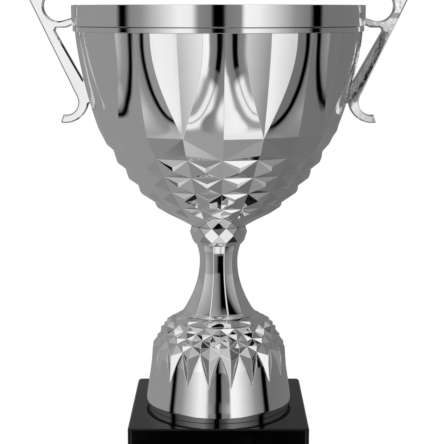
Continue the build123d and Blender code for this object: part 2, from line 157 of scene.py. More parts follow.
def flowing(at, knots):
    """Smooth curve through (place, value) knots: cubic Hermite spans whose end slopes are the
    mean slopes of the knots' neighbours."""
    place, value = np.array(sorted(knots), float).T
    slope = np.gradient(value, place)
    span = np.clip(np.searchsorted(place, at, side="right") - 1, 0, len(place) - 2)
    step = place[span + 1] - place[span]
    t = (at - place[span]) / step
    start, end = value[span], value[span + 1]
    return (start * (1 + 2 * t) * (1 - t) ** 2 + end * t * t * (3 - 2 * t)
            + step * (slope[span] * t * (1 - t) ** 2 - slope[span + 1] * t * t * (1 - t)))


def ease(t):
    """Soft step: 3t^2 - 2t^3 between 0 and 1."""
    t = np.clip(t, 0.0, 1.0)
    return t * t * (3 - 2 * t)


def cells(grid):
    """Quads between the rows and columns of a (rows, columns, 3) grid of points."""
    around = np.stack([grid[:-1, :-1], grid[1:, :-1], grid[1:, 1:], grid[:-1, 1:]], axis=2)
    return around.reshape(-1, 4, 3)


def facets(*corners):
    """One polygon for each row of the given corner arrays."""
    return np.stack(np.broadcast_arrays(*corners), axis=1)


def pyramids(top, right, bottom, left, tip):
    """Four triangles from each rhombus to its tip."""
    return [facets(top, left, tip), facets(left, bottom, tip),
            facets(bottom, right, tip), facets(right, top, tip)]


def disc(points):
    """One flat polygon over a closed ring of points."""
    return points[None, :, :]


def revolved(profile, columns, closed):
    """Quads of a (radius, height) profile carried round the axis in even steps."""
    line = np.array(profile, float)
    if closed:
        line = np.vstack([line, line[:1]])
    azimuth = np.linspace(0.0, 360.0, columns + 1)[None, :]
    return cells(on_ring(azimuth, (line[:, 1:2], line[:, 0:1])))


def welded(name, patches, material, replaces):
    """Mesh from polygon patches in millimetres, shared corners merged, faces turned outwards."""
    weld_distance = 2e-6
    mesh = bpy.data.meshes.new(name)
    points = np.vstack([patch.reshape(-1, 3) for patch in patches]) * MM
    sides = np.concatenate([np.full(len(patch), patch.shape[1]) for patch in patches])
    starts = np.concatenate([[0], np.cumsum(sides)[:-1]])
    mesh.vertices.add(len(points))
    mesh.vertices.foreach_set("co", points.ravel())
    mesh.loops.add(len(points))
    mesh.loops.foreach_set("vertex_index", np.arange(len(points), dtype=np.int32))
    mesh.polygons.add(len(sides))
    mesh.polygons.foreach_set("loop_start", starts.astype(np.int32))
    mesh.update(calc_edges=True)
    bm = bmesh.new()
    bm.from_mesh(mesh)
    bmesh.ops.remove_doubles(bm, verts=bm.verts, dist=weld_distance)
    bmesh.ops.dissolve_degenerate(bm, edges=bm.edges, dist=weld_distance / 2)
    bmesh.ops.recalc_face_normals(bm, faces=bm.faces)
    bm.to_mesh(mesh)
    bm.free()
    mesh.polygons.foreach_set("use_smooth", np.ones(len(mesh.polygons), bool))
    piece = bpy.data.objects.new(name, mesh)
    bpy.context.scene.collection.objects.link(piece)
    mesh.materials.append(material)
    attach(piece, "root")
    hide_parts(*replaces)
    return piece


def soften(piece, width, angle, segments=2):
    """Rounds the piece's edges that bend more than an angle, by a width in millimetres."""
    bevel = piece.modifiers.new("soft_edges", "BEVEL")
    bevel.width = width * MM
    bevel.segments = segments
    bevel.limit_method = "ANGLE"
    bevel.angle_limit = math.radians(angle)
    bevel.harden_normals = True
    bevel.use_clamp_overlap = True


def flute_half(height):
    """Half width of a flute in degrees: FLUTE_HALF sin(100 deg t), with t from 0 at its point to
    1 at its top, and full from t = 0.9 up."""
    t = (height - FLUTE_POINT[0]) / (SHELL_TOP - FLUTE_POINT[0])
    return FLUTE_HALF * np.sin(np.radians(np.clip(100.0 * t, 0.0, 90.0)))


def ridge_radius(height):
    """Radius of the ridges: the drop below the top, raised to a power, leads in to the point."""
    drop = (SHELL_TOP - height) / (SHELL_TOP - FLUTE_POINT[0])
    return RIDGE_TOP - (RIDGE_TOP - FLUTE_POINT[1]) * drop ** RIDGE_POWER


def upper_bowl():
    """Flutes and panels. A flute falls from the ridges on its sides to a valley down its middle,
    r_valley = r_ridge / (1 + depth) with w its half width in radians, and each of its sides
    swells; a panel falls from the ridge to a low crease down its middle and each half is hollow.
    Swell and hollow are parabolas on the straight line: depth * 4 s (1 - s)."""
    rows, flute_columns, panel_columns = 34, 6, 8
    height = np.linspace(SHELL_TOP, FLUTE_POINT[0], rows)[:, None]
    ridge = ridge_radius(height)
    half_width = flute_half(height)
    wide = np.radians(half_width)
    valley = ridge / (1 + VALLEY_DEPTH[0] * wide + VALLEY_DEPTH[1] * wide ** 2)
    swell = -FLUTE_SWELL * wide ** 2 / 4 * ridge
    share = half_width / half_width[0]
    foot_lift = (PANEL_FOOT[1] - FLUTE_POINT[1]) * (1 - share) ** FOOT_POWER
    panel_crease = ridge * (1 - CREASE_DEPTH * ease(CREASE_EASE * share)) + foot_lift
    half_step = 180.0 / FLUTES
    width_share = (half_step - half_width) / (half_step - half_width[0])
    hollow = PANEL_HOLLOW * width_share * ease((height - FLUTE_POINT[0]) / PANEL_FADE)
    centres = BOWL_TURN + (np.arange(FLUTES) + 0.5) * 360.0 / FLUTES
    patches, top_ring = [], []
    for side in (-1, 1):
        for centre in centres:
            lines = [(np.zeros_like(half_width), valley), (half_width, ridge),
                     (np.full_like(half_width, half_step), panel_crease)]
            sides = [on_ring(centre + side * a, (height, r))[:, 0] for a, r in lines]
            for a, b, depth, columns in ((0, 1, swell, flute_columns), (1, 2, hollow, panel_columns)):
                s = np.linspace(0, 1, columns + 1)[None, :, None]
                grid = sides[a][:, None] * (1 - s) + sides[b][:, None] * s
                outward = grid * [1, 1, 0]
                outward = outward / np.linalg.norm(outward, axis=-1, keepdims=True)
                grid = grid - outward * (depth[:, :, None] * 4 * s * (1 - s))
                patches.append(cells(grid))
                top_ring.append(grid[0])
    return patches, np.vstack(top_ring)


def crown_facets():
    """Facets under the flutes: a creased downward triangle under each panel and a wide
    half pyramid under each flute point."""
    valley = PYRAMID_ROWS[0][0]
    centre = BOWL_TURN + (np.arange(FLUTES) + 0.5) * 360.0 / FLUTES
    patches = []
    for side in (-1, 1):
        panel = centre + side * 180.0 / FLUTES
        point, tip, foot = on_ring(centre, FLUTE_POINT), on_ring(centre, CROWN), on_ring(centre, valley)
        below = on_ring(panel, valley)
        middle = on_ring(panel, PANEL_FOOT)
        s = np.linspace(0, 1, 9)
        along = [point * (1 - t) + middle * t for t in s]
        patches += [facets(below, *along), facets(point, tip, below), facets(tip, foot, below)]
    return patches


def pyramid_rows():
    """Rows of hipped pyramids that shrink towards the foot, then the plain cap."""
    valleys = [row[0] for row in PYRAMID_ROWS] + [CAP_RINGS[0]]
    a = BOWL_TURN + np.arange(CUTS) * 360.0 / CUTS
    c = a + 360.0 / CUTS
    patches = []
    for (above, upper, lower), under in zip(PYRAMID_ROWS, valleys[1:]):
        high, low = on_ring((a + c) / 2, upper), on_ring((a + c) / 2, lower)
        left, right, left_foot, right_foot = (on_ring(a, above), on_ring(c, above),
                                              on_ring(a, under), on_ring(c, under))
        patches += [facets(left, right, high), facets(left, high, low), facets(left, low, left_foot),
                    facets(right, low, high), facets(right, right_foot, low),
                    facets(low, right_foot, left_foot)]
    for upper, lower in zip(CAP_RINGS, CAP_RINGS[1:]):
        patches.append(facets(on_ring(a, upper), on_ring(c, upper), on_ring(c, lower), on_ring(a, lower)))
    patches.append(disc(on_ring(a, CAP_RINGS[-1])))
    return patches


def bowl_patches():
    """Whole bowl shell with its inner wall."""
    patches, top_ring = upper_bowl()
    patches += crown_facets() + pyramid_rows()
    azimuth = np.degrees(np.arctan2(top_ring[:, 0], -top_ring[:, 1]))
    order = np.argsort(azimuth)
    azimuth, keep = np.unique(np.round(azimuth[order], 4), return_index=True)
    rim = top_ring[order][keep]
    inner = np.array(SHELL_HOLLOW)
    wall = on_ring(azimuth[None, :], (inner[:, 0:1], inner[:, 1:2]))
    wall = np.concatenate([rim[None], wall])
    wall = np.concatenate([wall, wall[:, :1]], axis=1)
    return patches + [cells(wall), disc(wall[-1, :-1])]


def riser_patches():
    """Riser: lipped foot, flared skirt that rises in points between the spikes, and the cut band."""
    a = RISER_TURN + np.arange(CUTS) * 360.0 / CUTS
    half = 180.0 / CUTS
    b, c = a + half, a + 2 * half
    before, after = on_ring(a, VALLEY_1), on_ring(c, VALLEY_1)
    tip, crest = on_ring(b, SPIKE_TIP), on_ring(b, SPIKE_CREST)
    divisions, rows = 7, 16
    share = np.linspace(0, 1, divisions + 1)
    left_edge = [before * (1 - t) + tip * t for t in share]
    right_edge = [tip * (1 - t) + after * t for t in share]
    patches = [facets(crest, *left_edge), facets(crest, *right_edge)]
    low_edge = np.stack(left_edge + right_edge[1:], axis=1)
    turn = np.unwrap(np.arctan2(low_edge[..., 0], -low_edge[..., 1]), axis=1)
    height = low_edge[..., 2]
    high_edge = on_ring(np.degrees(turn), (height, flowing(height, SKIRT)))
    t = np.linspace(0, 1, rows)[:, None, None]
    z = LIP[0] + (height - LIP[0]) * t
    skirt = on_ring(np.degrees(turn), (z, flowing(z, SKIRT)))
    patches += [cells(skirt[:, k]) for k in range(CUTS)]
    patches += [cells(np.stack([high_edge[k], low_edge[k]])) for k in range(CUTS)]
    around = np.degrees(turn)[:, :-1].ravel()
    lower = np.array((LIP,) + RISER_HOLLOW)
    wall = on_ring(around[None, :], (lower[:, 0:1], lower[:, 1:2]))
    wall = np.concatenate([wall, wall[:, :1]], axis=1)
    patches += [cells(wall), disc(wall[-1, :-1])]
    patches += pyramids(on_ring(a, VALLEY_3), on_ring(b, VALLEY_2), before, on_ring(a - half, VALLEY_2),
                        on_ring(a, CREST_2))
    patches += pyramids(on_ring(b, VALLEY_4), on_ring(c, VALLEY_3), on_ring(b, VALLEY_2),
                        on_ring(a, VALLEY_3), on_ring(b, CREST_3))
    patches += pyramids(on_ring(a, SHOULDER), on_ring(b, VALLEY_4), on_ring(a, VALLEY_3),
                        on_ring(a - half, VALLEY_4), on_ring(a, CREST_4))
    above_spike = pyramids(on_ring(b, VALLEY_2), after, tip, before, crest)
    patches += [above_spike[0], above_spike[3]]
    patches.append(facets(on_ring(a, SHOULDER), on_ring(b, VALLEY_4), on_ring(c, SHOULDER)))
    patches.append(disc(on_ring(a, SHOULDER)))
    return patches


def collar_patches():
    """Twelve small diamonds between the riser's shoulder and the stem."""
    step = 360.0 / STEM_SIDES
    d = RISER_TURN + np.arange(STEM_SIDES) * step
    e, before = d + step / 2, d - step / 2
    patches = pyramids(on_ring(e, COLLAR_RIM), on_ring(d + step, COLLAR_VALLEY), on_ring(e, COLLAR_FOOT),
                       on_ring(d, COLLAR_VALLEY), on_ring(e, COLLAR_CREST))
    patches += [facets(on_ring(before, COLLAR_RIM), on_ring(d, COLLAR_VALLEY), on_ring(e, COLLAR_RIM)),
                facets(on_ring(d, COLLAR_VALLEY), on_ring(before, COLLAR_FOOT), on_ring(e, COLLAR_FOOT)),
                disc(on_ring(e, COLLAR_RIM)), disc(on_ring(e, COLLAR_FOOT))]
    return patches


def stem_ridge(height):
    """Radius of the ridges: a parabola down to the foot and a steeper one up to the head."""
    away = height - STEM_WAIST[0]
    return STEM_WAIST[1] + np.where(away < 0, *STEM_CURVE) * away ** 2


def stem_patches():
    """Waisted column. Radius = ridge radius, less the flat between two ridges and a faint
    hollow in it; the flats die out in low arches just above the foot."""
    per_side, rows = 16, 110
    step = 360.0 / STEM_SIDES
    azimuth = np.linspace(0, 360.0, STEM_SIDES * per_side + 1)[None, :]
    height = np.linspace(RISER_TOP, STEM_TOP, rows)[:, None]
    ridge = stem_ridge(height)
    across = (azimuth / step) % 1.0 * 2 - 1
    flat = np.cos(np.radians(step / 2)) / np.cos(np.radians(step / 2) * across)
    hollow = STEM_HOLLOW * (1 - across ** 2)
    arch = STEM_ARCH[0] + STEM_ARCH[1] * across ** 2
    cut = ease((height - arch) / STEM_ARCH_BLEND)
    radius = ridge * (1 - cut * (1 - flat + hollow))
    grid = on_ring(azimuth + RISER_TURN + step / 2, (height, radius))
    return [cells(grid), disc(grid[0, :-1]), disc(grid[-1, :-1])]


def knop_patches():
    """Twelve upright rhombi with triangles between them, on a short bevelled foot."""
    step = 360.0 / STEM_SIDES
    e = RISER_TURN + (np.arange(STEM_SIDES) + 0.5) * step
    high, low, after = on_ring(e, KNOP_HIGH), on_ring(e, KNOP_LOW), e + step
    side, other = on_ring(e + step / 2, KNOP_MIDDLE), on_ring(e - step / 2, KNOP_MIDDLE)
    return [facets(high, other, low, side), facets(high, side, on_ring(after, KNOP_HIGH)),
            facets(low, on_ring(after, KNOP_LOW), side),
            facets(low, on_ring(after, KNOP_LOW), on_ring(after, KNOP_FOOT), on_ring(e, KNOP_FOOT)),
            disc(high), disc(on_ring(e, KNOP_FOOT))]


def band_profile():
    """Closed cross-section of the rim band, (radius, height): flange, bead, groove and upright."""
    flange, bead, groove, wall = 76.9, 81.1, 80.7, 1.4
    bead_top, groove_top, inner = 268.0, 268.4, RIM_RADIUS - wall
    return [(flange, SHELL_TOP), (bead, SHELL_TOP), (bead, bead_top), (groove, bead_top),
            (groove, groove_top), (RIM_RADIUS, groove_top), (RIM_RADIUS, RIM_TOP), (inner, RIM_TOP),
            (inner, LEDGE), (flange, LEDGE)]


def cup_profile():
    """Closed cross-section of the thin inner cup, (radius, height), with its lip on the flange."""
    lip_radius, points_a_side = 80.3, 41
    outer_knots = ((3.25, 165.5), (20.0, 165.5), (28.5, 168.8), (37.5, 176.5), (46.5, 187.5),
                   (60.5, 211.0), (67.8, 232.0), (73.8, 252.0), (76.8, LEDGE))
    inner_knots = ((3.25, 166.4), (19.8, 166.4), (28.0, 169.6), (36.8, 177.1), (45.8, 188.1),
                   (59.7, 211.3), (66.95, 232.0), (72.95, 252.0), (76.0, LEDGE + LIP_THICKNESS))
    lines = []
    for knots in (outer_knots, inner_knots):
        count = np.arange(len(knots), dtype=float)
        at = np.linspace(0, count[-1], points_a_side)
        radius = flowing(at, list(zip(count, [k[0] for k in knots])))
        height = flowing(at, list(zip(count, [k[1] for k in knots])))
        lines.append(list(zip(radius, height)))
    lip = [(lip_radius, LEDGE), (lip_radius, LEDGE + LIP_THICKNESS)]
    return lines[0] + lip + lines[1][::-1]


# ---------------------------------------------------------------- finishes
# sockets of a Mix node, which share their names between its data types
FLOAT_A, FLOAT_B = 2, 3
COLOUR_A, COLOUR_B, COLOUR_OUT = 6, 7, 2


class Wiring:
    """Small helper that adds nodes to a tree and links them by name."""

    def __init__(self, tree):
        self.tree = tree

    def add(self, kind, settings=None, **inputs):
        """A node with its settings, and its inputs set to values or linked to outputs."""
        node = self.tree.nodes.new(kind)
        for key, value in (settings or {}).items():
            setattr(node, key, value)
        for key, value in inputs.items():
            socket = node.inputs[int(key[1:])] if key[1:].isdigit() else node.inputs[key.replace("_", " ")]
            if isinstance(value, bpy.types.NodeSocket):
                self.tree.links.new(value, socket)
            else:
                socket.default_value = value
        return node

    def maths(self, operation, *values):
        """Result of a Math node."""
        return self.add("ShaderNodeMath", {"operation": operation},
                        **{f"i{k}": value for k, value in enumerate(values)}).outputs[0]

    def ramp(self, factor, stops):
        """Colour of a straight ramp given as (place, grey) stops."""
        node = self.add("ShaderNodeValToRGB", Fac=factor)
        node.color_ramp.interpolation = "LINEAR"
        points = node.color_ramp.elements
        while len(points) < len(stops):
            points.new(0.5)
        for point, (place, tone) in zip(points, stops):
            point.position = place
            point.color = (tone, tone, tone, 1)
        return node.outputs["Color"]


def new_group(name, inputs, outputs):
    """Empty shader node group with float inputs and (name, type) outputs."""
    group = bpy.data.node_groups.new(name, "ShaderNodeTree")
    for label, default in inputs:
        socket = group.interface.new_socket(name=label, in_out="INPUT", socket_type="NodeSocketFloat")
        socket.default_value = default
    for label, kind in outputs:
        group.interface.new_socket(name=label, in_out="OUTPUT", socket_type=kind)
    return group, Wiring(group), group.nodes.new("NodeGroupInput"), group.nodes.new("NodeGroupOutput")


def ripple_group():
    """Slow waves and fine pits of plating, as a height, and a haze mask."""
    group, wiring, entry, result = new_group(
        "plating_ripple", (("Wave Size", 60.0), ("Pit Size", 900.0), ("Pits", 0.2)),
        (("Height", "NodeSocketFloat"), ("Haze", "NodeSocketFloat")))
    place = wiring.add("ShaderNodeTexCoord").outputs["Object"]
    slow = wiring.add("ShaderNodeTexNoise", Vector=place, Scale=entry.outputs["Wave Size"], Detail=1.0,
                      Roughness=0.4).outputs[0]
    pits = wiring.add("ShaderNodeTexNoise", Vector=place, Scale=entry.outputs["Pit Size"], Detail=3.0,
                      Roughness=0.6).outputs[0]
    cloud = wiring.add("ShaderNodeTexNoise", Vector=place, Scale=35.0, Detail=4.0, Roughness=0.6).outputs[0]
    height = wiring.maths("MULTIPLY_ADD", pits, entry.outputs["Pits"], slow)
    haze = wiring.add("ShaderNodeMapRange", Value=cloud, From_Min=0.35, From_Max=0.75).outputs[0]
    group.links.new(height, result.inputs["Height"])
    group.links.new(haze, result.inputs["Haze"])
    return group


def dust_group():
    """Fine specks and hairline scratches as a mask."""
    group, wiring, entry, result = new_group(
        "dust_and_hairlines", (("Speck Size", 1500.0), ("Amount", 0.3)), (("Mask", "NodeSocketFloat"),))
    place = wiring.add("ShaderNodeTexCoord").outputs["Object"]
    specks = wiring.add("ShaderNodeTexNoise", Vector=place, Scale=entry.outputs["Speck Size"],
                        Detail=2.0).outputs[0]
    stretched = wiring.add("ShaderNodeMapping", Vector=place, Scale=(1.0, 9.0, 40.0),
                           Rotation=(0.4, 0.2, 0.9)).outputs[0]
    lines = wiring.add("ShaderNodeTexNoise", Vector=stretched, Scale=90.0, Detail=2.0).outputs[0]
    line_mask = wiring.add("ShaderNodeMapRange", Value=lines, From_Min=0.62, From_Max=0.72).outputs[0]
    speck_mask = wiring.add("ShaderNodeMapRange", Value=specks, From_Min=0.66, From_Max=0.74).outputs[0]
    both = wiring.maths("MAXIMUM", line_mask, speck_mask)
    group.links.new(wiring.maths("MULTIPLY", both, entry.outputs["Amount"]), result.inputs["Mask"])
    return group


def painted_crease_shade_group():
    """Painted shade in grooves: the brightness that is left, all of it in the open, down to a tenth in
    grooves narrower than a width, from an ambient occlusion node."""
    group, wiring, entry, result = new_group(
        "painted_groove_shade", (("Width", 1.2 * MM),), (("Brightness", "NodeSocketFloat"),))
    openness = wiring.add("ShaderNodeAmbientOcclusion", {"samples": 8},
                          Distance=entry.outputs["Width"]).outputs["AO"]
    brightness = wiring.add("ShaderNodeMapRange", Value=openness, From_Min=0.2, From_Max=0.75,
                            To_Min=0.1, To_Max=1.0).outputs[0]
    group.links.new(brightness, result.inputs["Brightness"])
    return group


def ground_face_group():
    """Height that climbs sideways, as on a plate ground out of true: one slope below the bridge
    and another above it."""
    group, wiring, entry, result = new_group(
        "ground_face", (("Foot Slope", 0.1), ("Head Slope", 0.1)), (("Height", "NodeSocketFloat"),))
    place = wiring.add("ShaderNodeTexCoord").outputs["Object"]
    parts = wiring.add("ShaderNodeSeparateXYZ", Vector=place).outputs
    bridge_low, bridge_high = 272.5 * MM, 275.5 * MM
    head = wiring.add("ShaderNodeMapRange", Value=parts["Z"], From_Min=bridge_low,
                      From_Max=bridge_high).outputs[0]
    slope = wiring.add("ShaderNodeMix", {"data_type": "FLOAT"}, Factor=head)
    group.links.new(entry.outputs["Foot Slope"], slope.inputs[FLOAT_A])
    group.links.new(entry.outputs["Head Slope"], slope.inputs[FLOAT_B])
    group.links.new(wiring.maths("MULTIPLY", parts["X"], slope.outputs[0]), result.inputs["Height"])
    return group


def new_material(name):
    """Material with a Principled shader: returns it, its wiring and the shader."""
    material = bpy.data.materials.new(name)
    material.use_nodes = True
    return material, Wiring(material.node_tree), material.node_tree.nodes["Principled BSDF"]


def use_group(wiring, group, **values):
    """A group placed in a material with its own input values."""
    node = wiring.add("ShaderNodeGroup", {"node_tree": bpy.data.node_groups[group]})
    for label, value in values.items():
        node.inputs[label.replace("_", " ")].default_value = value
    return node


def plated(name, looks, haze=0.05, wave=60.0, depth=0.02, pits=0.02, pit_size=900.0, slant=None,
           groove=1.2):
    """Bright plating: a metal that is a little cloudier and darker where the haze mask lies, with
    painted shade darkening its colour in grooves narrower than a width in millimetres. A slant is the
    sideways slope of a hand-ground face at the foot and the head of a handle."""
    material, wiring, shader = new_material(name)
    ripple = use_group(wiring, "plating_ripple", Wave_Size=wave, Pit_Size=pit_size, Pits=pits)
    dust = use_group(wiring, "dust_and_hairlines", Amount=0.25)
    mixed = wiring.add("ShaderNodeMix", {"data_type": "RGBA"}, Factor=ripple.outputs["Haze"])
    mixed.inputs[COLOUR_A].default_value = (*looks.plating, 1)
    mixed.inputs[COLOUR_B].default_value = (*[c * 0.95 for c in looks.plating], 1)
    # painted shade: an ambient occlusion node darkens the plating's colour in grooves, creases and recesses
    painted_shade = use_group(wiring, "painted_groove_shade", Width=groove * MM)
    darkened = wiring.add("ShaderNodeMix", {"data_type": "RGBA", "blend_type": "MULTIPLY"}, Factor=1.0)
    material.node_tree.links.new(mixed.outputs[COLOUR_OUT], darkened.inputs[COLOUR_A])
    material.node_tree.links.new(painted_shade.outputs["Brightness"], darkened.inputs[COLOUR_B])
    rough = wiring.maths("MULTIPLY_ADD", ripple.outputs["Haze"], haze * 0.5, haze)
    rough = wiring.maths("MULTIPLY_ADD", dust.outputs["Mask"], 0.12, rough)
    bump = wiring.add("ShaderNodeBump", Strength=1.0, Distance=depth * MM, Height=ripple.outputs["Height"])
    if slant:
        ground = use_group(wiring, "ground_face", Foot_Slope=slant[0], Head_Slope=slant[1])
        bump = wiring.add("ShaderNodeBump", Strength=1.0, Distance=1.0, Height=ground.outputs["Height"],
                          Normal=bump.outputs["Normal"])
    material.node_tree.links.new(darkened.outputs[COLOUR_OUT], shader.inputs["Base Color"])
    material.node_tree.links.new(rough, shader.inputs["Roughness"])
    material.node_tree.links.new(bump.outputs["Normal"], shader.inputs["Normal"])
    shader.inputs["Metallic"].default_value = 1.0
    return material


def polished_stone(looks):
    """Black stone: faint grey veins and crystal specks under a polish with hairlines."""
    material, wiring, shader = new_material("polished_stone")
    place = wiring.add("ShaderNodeTexCoord").outputs["Object"]
    cloud = wiring.add("ShaderNodeTexNoise", Vector=place, Scale=28.0, Detail=8.0, Roughness=0.65,
                       Distortion=1.2).outputs[0]
    crystal = wiring.add("ShaderNodeTexVoronoi", Vector=place, Scale=1400.0).outputs["Distance"]
    vein = wiring.add("ShaderNodeMapRange", Value=cloud, From_Min=0.56, From_Max=0.8).outputs[0]
    glint = wiring.add("ShaderNodeMapRange", Value=crystal, From_Min=0.16, From_Max=0.02).outputs[0]
    mask = wiring.maths("MULTIPLY_ADD", glint, 0.25, vein)
    mixed = wiring.add("ShaderNodeMix", {"data_type": "RGBA"}, Factor=mask)
    mixed.inputs[COLOUR_A].default_value = (*looks.stone, 1)
    mixed.inputs[COLOUR_B].default_value = (*[c * 2.6 + 0.0012 for c in looks.stone], 1)
    dust = use_group(wiring, "dust_and_hairlines", Amount=0.4)
    rough = wiring.maths("MULTIPLY_ADD", dust.outputs["Mask"], 0.2, 0.04)
    material.node_tree.links.new(mixed.outputs[COLOUR_OUT], shader.inputs["Base Color"])
    material.node_tree.links.new(rough, shader.inputs["Roughness"])
    shader.inputs["IOR"].default_value = 1.39
    return material


def pressed_felt(looks):
    """Felt: matted fibres as colour flecks and a fine bump."""
    material, wiring, shader = new_material("felt_pad")
    place = wiring.add("ShaderNodeTexCoord").outputs["Object"]
    fibre = wiring.add("ShaderNodeTexNoise", Vector=place, Scale=1600.0, Detail=6.0, Roughness=0.8,
                       Distortion=2.0).outputs[0]
    mixed = wiring.add("ShaderNodeMix", {"data_type": "RGBA"}, Factor=fibre)
    mixed.inputs[COLOUR_A].default_value = (*looks.felt, 1)
    mixed.inputs[COLOUR_B].default_value = (*[c * 2.2 for c in looks.felt], 1)
    bump = wiring.add("ShaderNodeBump", Strength=0.8, Distance=0.25 * MM, Height=fibre)
    material.node_tree.links.new(mixed.outputs[COLOUR_OUT], shader.inputs["Base Color"])
    material.node_tree.links.new(bump.outputs["Normal"], shader.inputs["Normal"])
    shader.inputs["Roughness"].default_value = 0.95
    return material


def zinc_plate(looks):
    """Zinc-plated steel: a cold grey with cloudy patches and fine drawn lines."""
    material, wiring, shader = new_material("zinc_plating")
    ripple = use_group(wiring, "plating_ripple", Wave_Size=200.0, Pit_Size=2500.0, Pits=0.5)
    dust = use_group(wiring, "dust_and_hairlines", Amount=0.6)
    mixed = wiring.add("ShaderNodeMix", {"data_type": "RGBA"}, Factor=ripple.outputs["Haze"])
    mixed.inputs[COLOUR_A].default_value = (*looks.zinc, 1)
    mixed.inputs[COLOUR_B].default_value = (*[c * 0.8 for c in looks.zinc], 1)
    rough = wiring.maths("MULTIPLY_ADD", ripple.outputs["Haze"], 0.15, 0.25)
    rough = wiring.maths("MULTIPLY_ADD", dust.outputs["Mask"], 0.2, rough)
    bump = wiring.add("ShaderNodeBump", Strength=0.6, Distance=0.02 * MM, Height=ripple.outputs["Height"])
    material.node_tree.links.new(mixed.outputs[COLOUR_OUT], shader.inputs["Base Color"])
    material.node_tree.links.new(rough, shader.inputs["Roughness"])
    material.node_tree.links.new(bump.outputs["Normal"], shader.inputs["Normal"])
    shader.inputs["Metallic"].default_value = 1.0
    return material


def finish(name):
    """A finish made by the finishes operator."""
    return bpy.data.materials[name]


def refinish(node, name):
    """Gives a CAD node's slots a finish."""
    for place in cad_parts[node].material_slots:
        place.material = finish(name)


# ---------------------------------------------------------------- studio
def turn_place(degrees):
    """Place on a ramp of an azimuth between -180 and 180."""
    return 0.5 + degrees / 360.0


# What hangs round the cup, level by level from below upwards. Each entry is
# (from, to, tone where it begins, tone where it ends), azimuths in degrees and tones linear.
# Neighbours blend over the gap between them. The bridge, level and high rigs have a dark cloth in
# front, black ones at 75 to 80 degrees on both sides, softboxes round 25 degrees and grey walls.
UNDER_RIG = ((-180, -90, 0.2, 0.25), (-40, 40, 0.35, 0.35), (90, 180, 0.15, 0.15))
LOW_RIG = ((-180, -84, 0.3, 0.3), (-79, -77, 0, 0), (-70, -25, 0.35, 0.9), (-18, -12, 0.35, 0.35),
           (-7, -2, 0.9, 0.9), (0, 0, 0.4, 0.4), (2, 7, 0.9, 0.9), (12, 18, 0.35, 0.35),
           (25, 70, 0.9, 0.25), (79, 81, 0, 0), (84, 180, 0.17, 0.17))
BRIDGE_RIG = ((-180, -83, 0.3, 0.3), (-80, -75, 0, 0), (-70, -60, 0.25, 0.3), (-30, -20, 0.95, 0.9),
              (-15, -5, 0.25, 0.2), (-2, 2, 0.1, 0.1), (5, 15, 0.2, 0.25), (20, 30, 0.95, 0.95),
              (60, 73, 0.3, 0.2), (77, 83, 0, 0), (87, 180, 0.17, 0.2))
LEVEL_RIG = ((-180, -84, 0.3, 0.3), (-80, -75, 0, 0), (-70, -60, 0.25, 0.3), (-30, -20, 0.95, 0.9),
             (-15, -5, 0.25, 0.2), (-4, 4, 0, 0), (6, 17, 0.2, 0.25), (20, 30, 1.0, 0.95),
             (60, 73, 0.3, 0.2), (77, 84, 0, 0), (87, 180, 0.17, 0.2))
HIGH_RIG = ((-180, -88, 0.25, 0.4), (-82, -77, 0, 0), (-70, -60, 0.3, 0.45), (-32, -24, 1.0, 1.0),
            (-15, -9, 0.45, 0.3), (-6, 0, 0, 0), (3, 11, 0.2, 0.4), (20, 30, 1.0, 1.0),
            (60, 66, 0.4, 0.3), (71, 77, 0, 0), (83, 180, 0.2, 0.2))
ABOVE_RIG = ((-180, -60, 0.3, 0.6), (0, 0, 0.4, 0.4), (60, 180, 0.5, 0.2))
# elevations over which each level gives way to the next
RIG_STEPS = ((-62, -48), (-34, -31), (-28.5, -27), (0.8, 3), (40, 60))


def rig_stops(rig):
    """Ramp stops of a level of the rig. An entry with no width gives one stop, others two."""
    stops = []
    for start, end, first, last in rig:
        stops.append((turn_place(start), first))
        if end > start:
            stops.append((turn_place(end), last))
    return stops


def studio_world(looks):
    """Studio as seen by the plating: upright softboxes, black cloths and grey walls by azimuth,
    in bands by elevation. The camera sees the plain backdrop, matt surfaces an even light."""
    world = bpy.data.worlds.new("studio")
    world.use_nodes = True
    wiring = Wiring(world.node_tree)
    direction = wiring.add("ShaderNodeTexCoord").outputs["Generated"]
    parts = wiring.add("ShaderNodeSeparateXYZ", Vector=direction).outputs
    towards = wiring.maths("MULTIPLY", parts["Y"], -1.0)
    turn = wiring.maths("DIVIDE", wiring.maths("ARCTAN2", parts["X"], towards), 2 * math.pi)
    turn = wiring.maths("ADD", turn, 0.5)
    rise = wiring.maths("MULTIPLY", wiring.maths("ARCSINE", parts["Z"]), 180 / math.pi)
    levels = (UNDER_RIG, LOW_RIG, BRIDGE_RIG, LEVEL_RIG, HIGH_RIG, ABOVE_RIG)
    bands = [wiring.ramp(turn, rig_stops(rig)) for rig in levels]
    tone = bands[0]
    for band, (start, end) in zip(bands[1:], RIG_STEPS):
        share = wiring.add("ShaderNodeMapRange", Value=rise, From_Min=start, From_Max=end).outputs[0]
        mixed = wiring.add("ShaderNodeMix", {"data_type": "RGBA"}, Factor=share)
        world.node_tree.links.new(tone, mixed.inputs[COLOUR_A])
        world.node_tree.links.new(band, mixed.inputs[COLOUR_B])
        tone = mixed.outputs[COLOUR_OUT]
    rays = wiring.add("ShaderNodeLightPath").outputs
    matt = wiring.add("ShaderNodeMix", {"data_type": "RGBA"}, Factor=rays["Is Diffuse Ray"])
    world.node_tree.links.new(tone, matt.inputs[COLOUR_A])
    matt.inputs[COLOUR_B].default_value = (looks.fill, looks.fill, looks.fill, 1)
    seen = wiring.add("ShaderNodeMix", {"data_type": "RGBA"}, Factor=rays["Is Camera Ray"])
    world.node_tree.links.new(matt.outputs[COLOUR_OUT], seen.inputs[COLOUR_A])
    seen.inputs[COLOUR_B].default_value = (*looks.backdrop, 1)
    background = world.node_tree.nodes["Background"]
    world.node_tree.links.new(seen.outputs[COLOUR_OUT], background.inputs["Color"])
    return world


